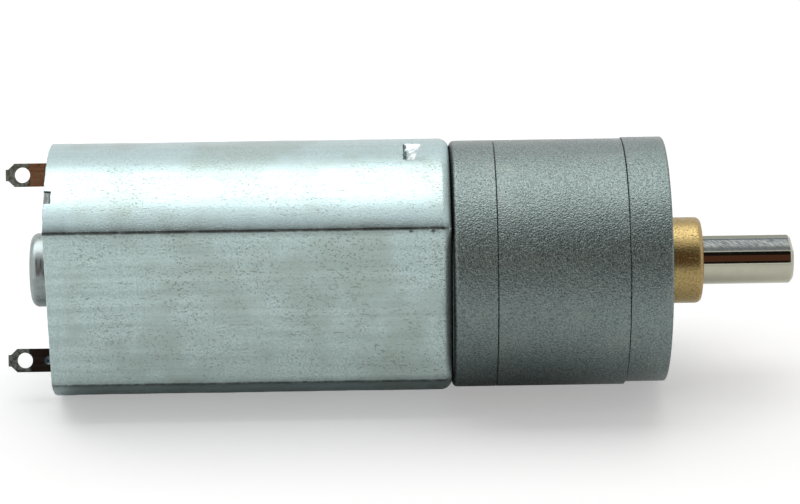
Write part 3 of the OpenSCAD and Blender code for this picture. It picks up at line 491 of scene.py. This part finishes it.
def coil_path(middle_x, core_half_l):
    """The wire's middle line round a pole that points along +y: turns laid up and down the neck in layers.
    Each turn is a rectangle with rounded corners, one wire further out than in the layer below."""
    layers = []
    for layer in range(COIL_LAYERS):
        out = WIRE_D * (layer + 0.5)
        half_w = NECK_HALF_W + out
        half_l = core_half_l + CORE_END_GAP + out
        top = np.sqrt((COIL_R - WIRE_D / 2) ** 2 - half_w ** 2)
        turns = int((top - COIL_FOOT) / WIRE_D - 0.5)
        turn = np.arange(turns * TURN_STEPS) / TURN_STEPS
        climb = turns - turn if layer % 2 else turn
        phase = 2 * pi * turn + pi / TURN_STEPS
        corner = out + 0.1
        x = np.sign(np.cos(phase)) * (half_l - corner) + corner * np.cos(phase)
        z = np.sign(np.sin(phase)) * (half_w - corner) + corner * np.sin(phase)
        layers.append(np.stack([middle_x + x, COIL_FOOT + WIRE_D * (0.5 + climb), z], -1))
    return np.vstack(layers)


def wire_points(path):
    """A ring of six points carried along a path, square to it."""
    way = np.gradient(path, axis=0)
    way = way / np.linalg.norm(way, axis=1, keepdims=True)
    first = np.cross(way, [0, 1, 0])
    first = first / np.linalg.norm(first, axis=1, keepdims=True)
    second = np.cross(way, first)
    angle = np.arange(6)[:, None] * pi / 3
    return path[:, None] + WIRE_D / 2 * (first[:, None] * np.cos(angle) + second[:, None] * np.sin(angle))


def about_x(points, degrees):
    """Points turned about the shaft's axis."""
    y, z = points[..., 1], points[..., 2]
    turn = radians(degrees)
    return np.stack([points[..., 0], y * cos(turn) - z * sin(turn), y * sin(turn) + z * cos(turn)], -1)


core_x = [corner[0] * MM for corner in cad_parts["rotor_core"].bound_box]
wire = wire_points(coil_path((min(core_x) + max(core_x)) / 2, (max(core_x) - min(core_x)) / 2))
coils = grid_piece("wound_coils", [about_x(wire, turn) for turn in (0, 120, 240)], "fans")
coils.data.materials.append(
    ground_finish("enamelled_wire", (0.36, 0.12, 0.045), (0.6, 0.25, 0.11), 1.0, 0.24, 0.8, 0.002))
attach(coils, "rotor")
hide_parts("rotor_windings")
gear_brass = ground_finish("gear_brass", (0.5, 0.36, 0.13), (0.68, 0.5, 0.2), 1.0, 0.28, 0.35, 0.003)
turned_steel = ground_finish("turned_steel", (0.42, 0.42, 0.41), (0.56, 0.56, 0.55), 1.0, 0.22, 0.3, 0.002)
black_moulding = ground_finish(
    "black_moulding", (0.012, 0.013, 0.015), (0.025, 0.027, 0.03), 0.0, 0.45, 0.4, 0.006)
dress(laminated_finish(), "rotor_core")
dress(gear_brass, "motor_pinion", "rotor_collars")
dress(turned_steel, "rotor_shaft")
dress(black_moulding, "commutator_hub")
dress(ground_finish("bar_copper", (0.45, 0.17, 0.075), (0.62, 0.27, 0.13), 1.0, 0.24, 0.25, 0.003),
      "commutator_bars")
dress(ground_finish("fibre_board", (0.2, 0.1, 0.04), (0.3, 0.17, 0.075), 0.0, 0.75, 0.2, 0.01),
      "rotor_insulators")
dress(ground_finish("bearing_bronze", (0.36, 0.23, 0.09), (0.5, 0.33, 0.14), 1.0, 0.4, 0.15, 0.01),
      "front_bearing", "rear_bearing")

# Brush gear and terminals
# A moulded holder fills the end of the can, and copper arms press carbon brushes on the commutator. The two
# tinned terminals have dull solder-dipped tips; the upper is bright, and the lower has a dark copy of the
# finish, painted shade for the dark reflection it shows.
dress(black_moulding, "brush_holder")
dress(ground_finish("arm_copper", (0.42, 0.17, 0.08), (0.58, 0.26, 0.13), 1.0, 0.26, 0.5, 0.002),
      "brush_arm_upper", "brush_arm_lower")
dress(ground_finish("carbon", (0.02, 0.02, 0.021), (0.045, 0.045, 0.046), 0.0, 0.55, 0.12, 0.006),
      "carbon_brush_upper", "carbon_brush_lower")
TERMINAL_HOLE_X = -51.95


def tinned_finish(name, dark, light):
    """Tinned strip: rolling lines, a mottled grey tip with a dark border, and dark flux at random."""
    material, tree, shader, place = new_finish(name, 1.0)
    lines = effect(tree, streaks, place, Length=3.0, Width=0.12)
    colour = over(tree, lines, dark, light)
    grain = noise(tree, place, 0.5)
    reach = calc(tree, "MULTIPLY_ADD", grain, 0.9, along(tree, place))
    tip = ramp(tree, reach, TERMINAL_HOLE_X + 1.05, TERMINAL_HOLE_X + 0.75)
    patchy = ramp(tree, noise(tree, place, 0.3), 0.4, 0.62)
    dipped = over(tree, patchy, (0.08, 0.095, 0.08), (0.24, 0.27, 0.235))
    colour = over(tree, faint(tree, tip, 0.92), colour, dipped)
    colour = over(tree, faint(tree, band(tree, tip, 0.25, 0.75, 0.2), 0.8), colour, (0.02, 0.025, 0.022))
    flux = effect(tree, clouds, place, Size=0.7, Level=0.62, Softness=0.06)
    colour = over(tree, faint(tree, flux, 0.7), colour, (0.06, 0.055, 0.05))
    rough = calc(tree, "MULTIPLY_ADD", tip, 0.3, ramp(tree, lines, 0.3, 0.7, 0.1, 0.18))
    shade(tree, shader, colour, rough, lines, 0.003)
    return material


dress(tinned_finish("tinned_metal", (0.72, 0.7, 0.5), (0.94, 0.94, 0.7)), "terminal_upper")
# Painted shade: the lower terminal gets a dark bluish copy of the tinned finish, for the dark reflection it
# shows.
dress(tinned_finish("tin_painted_dark", (0.06, 0.085, 0.1), (0.11, 0.15, 0.17)), "terminal_lower")

# End plate
# A steel plate closes the can, with a drawn boss round the rear bearing and four ears staked into notches of
# the rim. It is plated like the can, but darker and shinier, with soft streaks down the boss from drawing.
EAR_R = 9.7


def plate_finish():
    """Plated sheet with streaks round the boss, darker stains, and ears darkened with painted shade for the
    notches they sit in.
    """
    material, tree, shader, place = new_finish("plated_steel", 1.0)
    mottle = noise(tree, scaled(tree, place, (3.0, 0.5, 0.5)), 0.6, 4.0)
    colour = over(tree, mottle, (0.25, 0.29, 0.29), (0.4, 0.455, 0.455))
    stain = effect(tree, clouds, place, Size=1.2, Level=0.58, Softness=0.1)
    colour = over(tree, faint(tree, stain, 0.45), colour, (0.17, 0.19, 0.195))
    beside = scaled(tree, place, (0.0, 1.0, 1.0))
    from_axis = add(tree, "ShaderNodeVectorMath", {0: beside}, operation="LENGTH").outputs["Value"]
    # Painted shade: the ears are darkened, patchily, where they sit in the rim's notches.
    ear_ring = ramp(tree, from_axis, EAR_R - 0.3, EAR_R)
    painted_ear_shade = faint(tree, ear_ring, ramp(tree, mottle, 0.3, 0.6, 0.6, 0.95))
    colour = over(tree, painted_ear_shade, colour, (0.07, 0.08, 0.078))
    shade(tree, shader, colour, ramp(tree, mottle, 0.3, 0.7, 0.24, 0.36), mottle, 0.012)
    return material


dress(plate_finish(), "end_plate")

# Gearbox shells
# Three die-cast shells, tumbled and blasted to an even pebbled grey, stand face to face with two fine seams.
# The rear cover is screwed on the can, and the three long screws through the front cover hold the rest.
SEAMS, SEAM_HALF_W = (-3.35, -13.75), 0.035
CAST_METAL, SHINE_IOR = 0.8, 3.0


def pebbles_group():
    """Blasted casting: rounded bumps from cells with soft borders, broken up by noise of the same size."""
    tree, given, result = new_group("pebbles", ("Size",), "Height")
    place = counted(tree, given["Place"], given["Size"], given["Size"])
    grain_inputs = {"Vector": place, "Scale": 1.0, "Detail": 2.0, "Roughness": 0.55}
    grain = add(tree, "ShaderNodeTexNoise", grain_inputs)
    cell_inputs = {"Vector": place, "Scale": 0.8, "Smoothness": 0.6}
    cells = add(tree, "ShaderNodeTexVoronoi", cell_inputs, feature="SMOOTH_F1")
    bumps = calc(tree, "MULTIPLY", cells.outputs["Distance"], -0.35)
    tree.links.new(calc(tree, "ADD", grain.outputs["Fac"], bumps), result)
    return tree


pebbles = pebbles_group()


def cast_finish():
    """Blasted casting: an even grey-green on fine pebbles with a partly white shine, dark grit, paler worn
    patches and black uneven seams, and painted shade at the joint with the can."""
    material, tree, shader, place = new_finish("gearbox_cast", CAST_METAL)
    shader.inputs["IOR"].default_value = SHINE_IOR
    bumps = effect(tree, pebbles, place, Size=0.125)
    colour = over(tree, ramp(tree, bumps, 0.05, 0.5), (0.125, 0.172, 0.165), (0.185, 0.245, 0.234))
    grit = effect(tree, specks, place, Length=0.16, Width=0.16, Level=0.52)
    colour = over(tree, faint(tree, grit, 0.75), colour, (0.07, 0.1, 0.096))
    worn = effect(tree, clouds, place, Size=3.0, Level=0.6, Softness=0.12)
    colour = over(tree, faint(tree, worn, 0.3), colour, (0.22, 0.262, 0.233))
    uneven = calc(tree, "SUBTRACT", noise(tree, place, 0.35), 0.5)
    x = calc(tree, "MULTIPLY_ADD", uneven, 0.14, along(tree, place))
    for seam in SEAMS:
        line = band(tree, x, seam - SEAM_HALF_W, seam + SEAM_HALF_W, 0.03)
        colour = over(tree, line, colour, (0.008, 0.009, 0.009))
    # Painted shade: near-black, and fully metal, at the rear edge where the gearbox meets the can.
    joint_shade = ramp(tree, x, CAN_FRONT + 0.36, CAN_FRONT + 0.1)
    colour = over(tree, joint_shade, colour, (0.012, 0.013, 0.012))
    tree.links.new(ramp(tree, joint_shade, 0.0, 1.0, CAST_METAL, 1.0), shader.inputs["Metallic"])
    shade(tree, shader, colour, ramp(tree, bumps, 0.05, 0.5, 0.38, 0.24), bumps, 0.06)
    return material


dress(cast_finish(), "front_cover", "gear_housing", "rear_cover")

# Gear train
# Three idlers, each a brass wheel pressed on a steel pinion, turn on two steel pins between the covers.
# Brass tubes space them, and the last one drives the output gear, which a washer keeps off the bush.
dress(gear_brass, "first_wheel", "second_wheel", "third_wheel", "output_gear", "idler_spacers")
dress(turned_steel, "first_pinion", "second_pinion", "third_pinion", "idler_pin_a", "idler_pin_b",
      "output_washer")

# Output bush
# A sintered bronze bush, pressed into the front cover. Its skin is a coat of fused grains with open pores,
# and its front edge is rubbed to a warmer copper tone.
BUSH_EDGE_X = 2.97
BUSH_METAL = 0.85


def bronze_finish():
    """Sintered bronze: fused grains with a partly white shine, open pores, and a coppery rubbed edge."""
    material, tree, shader, place = new_finish("sintered_bronze", BUSH_METAL)
    shader.inputs["IOR"].default_value = SHINE_IOR
    grains = effect(tree, pebbles, place, Size=0.13)
    colour = over(tree, ramp(tree, grains, 0.05, 0.5), (0.3, 0.21, 0.068), (0.41, 0.295, 0.1))
    rubbed = calc(tree, "MULTIPLY_ADD", noise(tree, place, 0.4), 0.3, along(tree, place))
    edge = ramp(tree, rubbed, BUSH_EDGE_X + 0.05, BUSH_EDGE_X + 0.2)
    colour = over(tree, faint(tree, edge, 0.8), colour, (0.4, 0.185, 0.075))
    pores = effect(tree, specks, place, Length=0.17, Width=0.17, Level=0.62)
    colour = over(tree, faint(tree, pores, 0.8), colour, (0.12, 0.075, 0.03))
    height = calc(tree, "SUBTRACT", grains, pores)
    shade(tree, shader, colour, ramp(tree, grains, 0.1, 0.5, 0.38, 0.26), height, 0.014)
    return material


dress(bronze_finish(), "output_bush")

# Output shaft
# A ground and nickel-plated steel shaft with a milled flat, whose edges tumbling has rolled.
# The plating is nearly a mirror, and the flat keeps the slanting marks of the cutter.
SHAFT_R = 2.0
SHAFT_FLAT = 1.5
FLAT_TURN = radians(3.4)
FLAT_EDGES = (0.1, 0.2)
FLAT_BRIGHT = 0.67
CUTTER_SLANT = 0.9
SHAFT_SECTIONS = ((-7.6, 1.4), (-7.5, 1.5), (-3.38, 1.5), (-3.38, 1.78), (-3.36, 1.8),
                  (3.08, 1.8), (3.1, 1.8))
SHOULDER_X, SHAFT_TIP_X, SHAFT_CHAMFER = 3.1, 10.5, 0.3


def shaft_half(corner, shrink):
    """Half of the D-section, for each shrink: half the flat, a rolled edge of the given radius, and the round
    part down to the point opposite. Gives the distances towards the flat and along it."""
    flat, radius = SHAFT_FLAT - shrink[:, None] * 0.8, SHAFT_R - shrink[:, None]
    middle_up = flat - corner
    middle_out = np.sqrt((radius - corner) ** 2 - middle_up ** 2)
    turn = np.arctan2(middle_out, middle_up)
    bend = turn * np.linspace(0, 1, 12)[1:]
    sweep = turn + (pi - turn) * np.linspace(0, 1, 60)[1:]
    across = np.linspace(0, 1, 8)
    up = np.hstack([flat + 0 * across, middle_up + corner * np.cos(bend), radius * np.cos(sweep)])
    out = np.hstack([middle_out * across, middle_out + corner * np.sin(bend), radius * np.sin(sweep)])
    return up, out


def shaft_points():
    """The journal's circles, then the D-section carried along x to a rounded chamfer at the tip."""
    roll = np.linspace(0, 1, 7)
    length = np.linspace(SHOULDER_X + 0.2, SHAFT_TIP_X - 0.45, 24)
    ends = np.concatenate([[SHOULDER_X, SHOULDER_X + 0.03], length])
    tip = SHAFT_TIP_X - SHAFT_CHAMFER * (1 - roll)
    shrink = np.concatenate([[0.03], np.zeros(25), SHAFT_CHAMFER * roll ** 1.4])
    far_up, far_out = shaft_half(FLAT_EDGES[0], shrink)
    near_up, near_out = shaft_half(FLAT_EDGES[1], shrink)
    up = np.hstack([far_up, near_up[:, -2:0:-1]])
    out = np.hstack([far_out, -near_out[:, -2:0:-1]])
    bearing = np.arctan2(out, up)[1]
    x, radius = np.array(SHAFT_SECTIONS).T
    up = np.vstack([radius[:, None] * np.cos(bearing), up])
    out = np.vstack([radius[:, None] * np.sin(bearing), out])
    x = np.repeat(np.concatenate([x, ends, tip])[:, None], up.shape[1], 1)
    y, z = out * cos(FLAT_TURN) - up * sin(FLAT_TURN), up * cos(FLAT_TURN) + out * sin(FLAT_TURN)
    return np.stack([x, y, z], -1)[:, ::-1]


def nickel_finish():
    """Bright nickel with a faint haze. The flat is bluer and duller, crossed by slanting cutter marks that
    fade towards one side, and keeps a bright strip along the other, with a dark line of painted shade
    between."""
    material, tree, shader, place = new_finish("bright_steel", 1.0)
    haze = noise(tree, place, 0.7)
    colour = over(tree, haze, (0.4, 0.39, 0.31), (0.47, 0.46, 0.37))
    tilted = add(tree, "ShaderNodeMapping", {"Vector": place, "Rotation": (-FLAT_TURN, 0.0, 0.0)}).outputs[0]
    ahead = ramp(tree, along(tree, place), SHOULDER_X, SHOULDER_X + 0.03)
    on_flat = ramp(tree, along(tree, tilted, "Z"), SHAFT_FLAT - 0.03, SHAFT_FLAT - 0.012)
    flat = calc(tree, "MULTIPLY", on_flat, ahead)
    far = along(tree, tilted, "Y")
    slant = add(tree, "ShaderNodeMapping", {"Vector": place, "Rotation": (0.0, 0.0, CUTTER_SLANT)}).outputs[0]
    marks = effect(tree, streaks, slant, Length=0.7, Width=0.08)
    milled = over(tree, ramp(tree, marks, 0.35, 0.68), (0.11, 0.135, 0.145), (0.5, 0.53, 0.5))
    milled = over(tree, faint(tree, ramp(tree, far, -0.25, -0.95), 0.85), milled, (0.07, 0.08, 0.075))
    wavy = calc(tree, "MULTIPLY_ADD", haze, 0.1, far)
    # Painted shade: a dark bluish line between the milled part of the flat and its smooth strip.
    painted_edge_shade = band(tree, wavy, FLAT_BRIGHT - 0.08, FLAT_BRIGHT + 0.1, 0.06)
    milled = over(tree, painted_edge_shade, milled, (0.06, 0.075, 0.1))
    smooth_strip = ramp(tree, wavy, FLAT_BRIGHT + 0.1, FLAT_BRIGHT + 0.18)
    milled = over(tree, smooth_strip, milled, (0.26, 0.268, 0.21))
    colour = over(tree, flat, colour, milled)
    cut = calc(tree, "MULTIPLY", flat, calc(tree, "SUBTRACT", 1.0, smooth_strip))
    dull = calc(tree, "MULTIPLY_ADD", cut, 0.2, ramp(tree, haze, 0.3, 0.7, 0.05, 0.09))
    shade(tree, shader, colour, dull, calc(tree, "MULTIPLY", marks, cut), 0.014)
    return material


shaft = grid_piece("output_shaft_d", [shaft_points()], "fans")
shaft.data.materials.append(nickel_finish())
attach(shaft, "output")
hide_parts("output_shaft")

# Screws
# Small countersunk screws of blackened steel, with cross recesses.
# Three hold the gearbox together, and two hold it on the can.
dress(ground_finish("screw_steel", (0.05, 0.048, 0.046), (0.12, 0.115, 0.11), 1.0, 0.38, 0.3, 0.004),
      "cover_screws", "motor_screws")

# Table and light
# The motor lies on a white table under one wide soft lamp, a little behind it, in a white room.
# A dark cloth with a brown band hangs on the camera's side, and shows as the dark bands in the metal.
FLOOR_Z = -10.2
TABLE_HALF = 3000.0


def stage_sheet(name, points, material):
    """An open sheet on a grid of points, for the room round the object."""
    rows, columns = points.shape[:2]
    index = np.arange(rows * columns).reshape(rows, columns)
    quads = np.stack([index[:-1, :-1], index[:-1, 1:], index[1:, 1:], index[1:, :-1]], -1).reshape(-1, 4)
    mesh = bpy.data.meshes.new(name)
    mesh.from_pydata(points.reshape(-1, 3) / MM, [], quads.tolist())
    mesh.materials.append(material)
    sheet = bpy.data.objects.new(name, mesh)
    bpy.context.scene.collection.objects.link(sheet)


def ray_kinds(tree):
    """Two masks: rays straight from the camera, and rays that metal or glass sends on. Scattered light has
    neither."""
    rays = add(tree, "ShaderNodeLightPath").outputs
    return rays["Is Camera Ray"], calc(tree, "MAXIMUM", rays["Is Glossy Ray"], rays["Is Transmission Ray"])


GLOW_MIDDLE_X, GLOW_HALF_L, GLOW_TAPER = -31.0, 15.0, 2.0
GLOW_NEAR, GLOW_FAR = 10.0, 42.0
GLOW_SEEN, GLOW_MIRRORED = 0.36, 0.28


def table_finish():
    """Matt white board with an even glow for the camera, so that the open table is white and a pale shadow
    stays. What metal shows of it glows too, but not close round the motor."""
    material = bpy.data.materials.new("white_table")
    material.use_nodes = True
    tree = material.node_tree
    board = tree.nodes["Principled BSDF"].inputs
    board["Base Color"].default_value = (0.88, 0.88, 0.88, 1.0)
    board["Roughness"].default_value = 0.9
    board["Specular IOR Level"].default_value = 0.0
    board["Emission Color"].default_value = (1.0, 1.0, 1.0, 1.0)
    place = place_mm(tree)
    from_middle = calc(tree, "ABSOLUTE", calc(tree, "SUBTRACT", along(tree, place), GLOW_MIDDLE_X))
    beyond = calc(tree, "MAXIMUM", calc(tree, "SUBTRACT", from_middle, GLOW_HALF_L), 0.0)
    away = calc(tree, "POWER", calc(tree, "MULTIPLY", beyond, GLOW_TAPER), 2.0)
    away = calc(tree, "ADD", away, calc(tree, "POWER", along(tree, place, "Y"), 2.0))
    glow = ramp(tree, calc(tree, "SQRT", away), GLOW_NEAR, GLOW_FAR, 0.0, GLOW_MIRRORED)
    camera_ray, mirrored = ray_kinds(tree)
    glow = calc(tree, "MULTIPLY_ADD", camera_ray, GLOW_SEEN, calc(tree, "MULTIPLY", mirrored, glow))
    tree.links.new(glow, board["Emission Strength"])
    return material


side = np.linspace(-TABLE_HALF, TABLE_HALF, 3)
stage_sheet("table", np.stack([*np.meshgrid(side, side), np.full((3, 3), FLOOR_Z)], -1), table_finish())

CLOTH_R = 1400.0
CLOTH_LEFT, CLOTH_RIGHT = -420.0, 1400.0
CLOTH_RISE = (5.0, 62.0)
BROWN_RISE = (15.0, 43.0)


def cloth_finish():
    """Black cloth with a brown band part of the way up."""
    material = bpy.data.materials.new("dark_cloth")
    material.use_nodes = True
    tree = material.node_tree
    tree.nodes.remove(tree.nodes["Principled BSDF"])
    height = along(tree, add(tree, "ShaderNodeTexCoord").outputs["Object"], "Z")
    low, high = (CLOTH_R / MM * sin(radians(rise)) for rise in BROWN_RISE)
    colour = over(tree, band(tree, height, low, high, 0.03), (0.012, 0.012, 0.011), (0.12, 0.048, 0.028))
    shown = add(tree, "ShaderNodeEmission", {"Color": colour})
    tree.links.new(shown.outputs[0], tree.nodes["Material Output"].inputs["Surface"])
    return material


rises = np.radians(np.linspace(*CLOTH_RISE, 80))
rise, across = np.meshgrid(rises, np.linspace(CLOTH_LEFT, CLOTH_RIGHT, 9))
cloth = np.stack([across, -CLOTH_R * np.cos(rise), CLOTH_R * np.sin(rise)], -1)
stage_sheet("dark_cloth", cloth, cloth_finish())

LAMP_HEIGHT = 0.4
LAMP_FRONT, LAMP_BACK = -0.045, 0.29
LAMP_LEFT, LAMP_RIGHT = -0.42, 0.15
LAMP_RADIANCE = 1.9
lamp_data = bpy.data.lights.new("soft_lamp", "AREA")
lamp_data.shape = "RECTANGLE"
lamp_data.size, lamp_data.size_y = LAMP_RIGHT - LAMP_LEFT, LAMP_BACK - LAMP_FRONT
lamp_data.energy = LAMP_RADIANCE * pi * lamp_data.size * lamp_data.size_y
lamp = bpy.data.objects.new("soft_lamp", lamp_data)
lamp.location = ((LAMP_LEFT + LAMP_RIGHT) / 2, (LAMP_FRONT + LAMP_BACK) / 2, LAMP_HEIGHT)
bpy.context.scene.collection.objects.link(lamp)

ROOM_LIGHT, ROOM_SEEN = 0.45, 0.55
room = bpy.data.worlds.new("white_room")
bpy.context.scene.world = room
room.use_nodes = True
room_tree = room.node_tree
seen = calc(room_tree, "ADD", *ray_kinds(room_tree))
level = calc(room_tree, "MULTIPLY_ADD", seen, ROOM_SEEN, ROOM_LIGHT)
background = room_tree.nodes["Background"].inputs
room_tree.links.new(level, background["Strength"])
background["Color"].default_value = (1.0, 1.0, 1.0, 1.0)

# Camera
# It looks down at the motor from 25 degrees above the table, almost square to the shaft, through a long lens.
CAMERA_PLACE = Vector((-0.023334, -0.225697, 0.106353))
CAMERA_RISE, CAMERA_YAW, CAMERA_TILT = 25.0, 0.454, 0.875
CAMERA_LENS, SENSOR_W, NEAREST = 137.95, 36.0, 0.01
rise, yaw, tilt = (radians(turn) for turn in (CAMERA_RISE, CAMERA_YAW, CAMERA_TILT))
toward, above = Vector((0, -cos(rise), sin(rise))), Vector((0, sin(rise), cos(rise)))
shaft_way = Vector((1, 0, 0))
level_right = shaft_way * cos(yaw) + toward * sin(yaw)
right = level_right * cos(tilt) - above * sin(tilt)
upright = level_right * sin(tilt) + above * cos(tilt)
back = toward * cos(yaw) - shaft_way * sin(yaw)
camera_data = bpy.data.cameras.new("camera")
camera_data.sensor_fit = "HORIZONTAL"
camera_data.sensor_width = SENSOR_W
camera_data.lens = CAMERA_LENS
camera_data.clip_start = NEAREST
camera = bpy.data.objects.new("camera", camera_data)
turned = Matrix((right, upright, back)).transposed().to_4x4()
camera.matrix_world = Matrix.Translation(CAMERA_PLACE) @ turned
bpy.context.scene.collection.objects.link(camera)
bpy.context.scene.camera = camera
bpy.context.scene.view_settings.view_transform = "Standard"
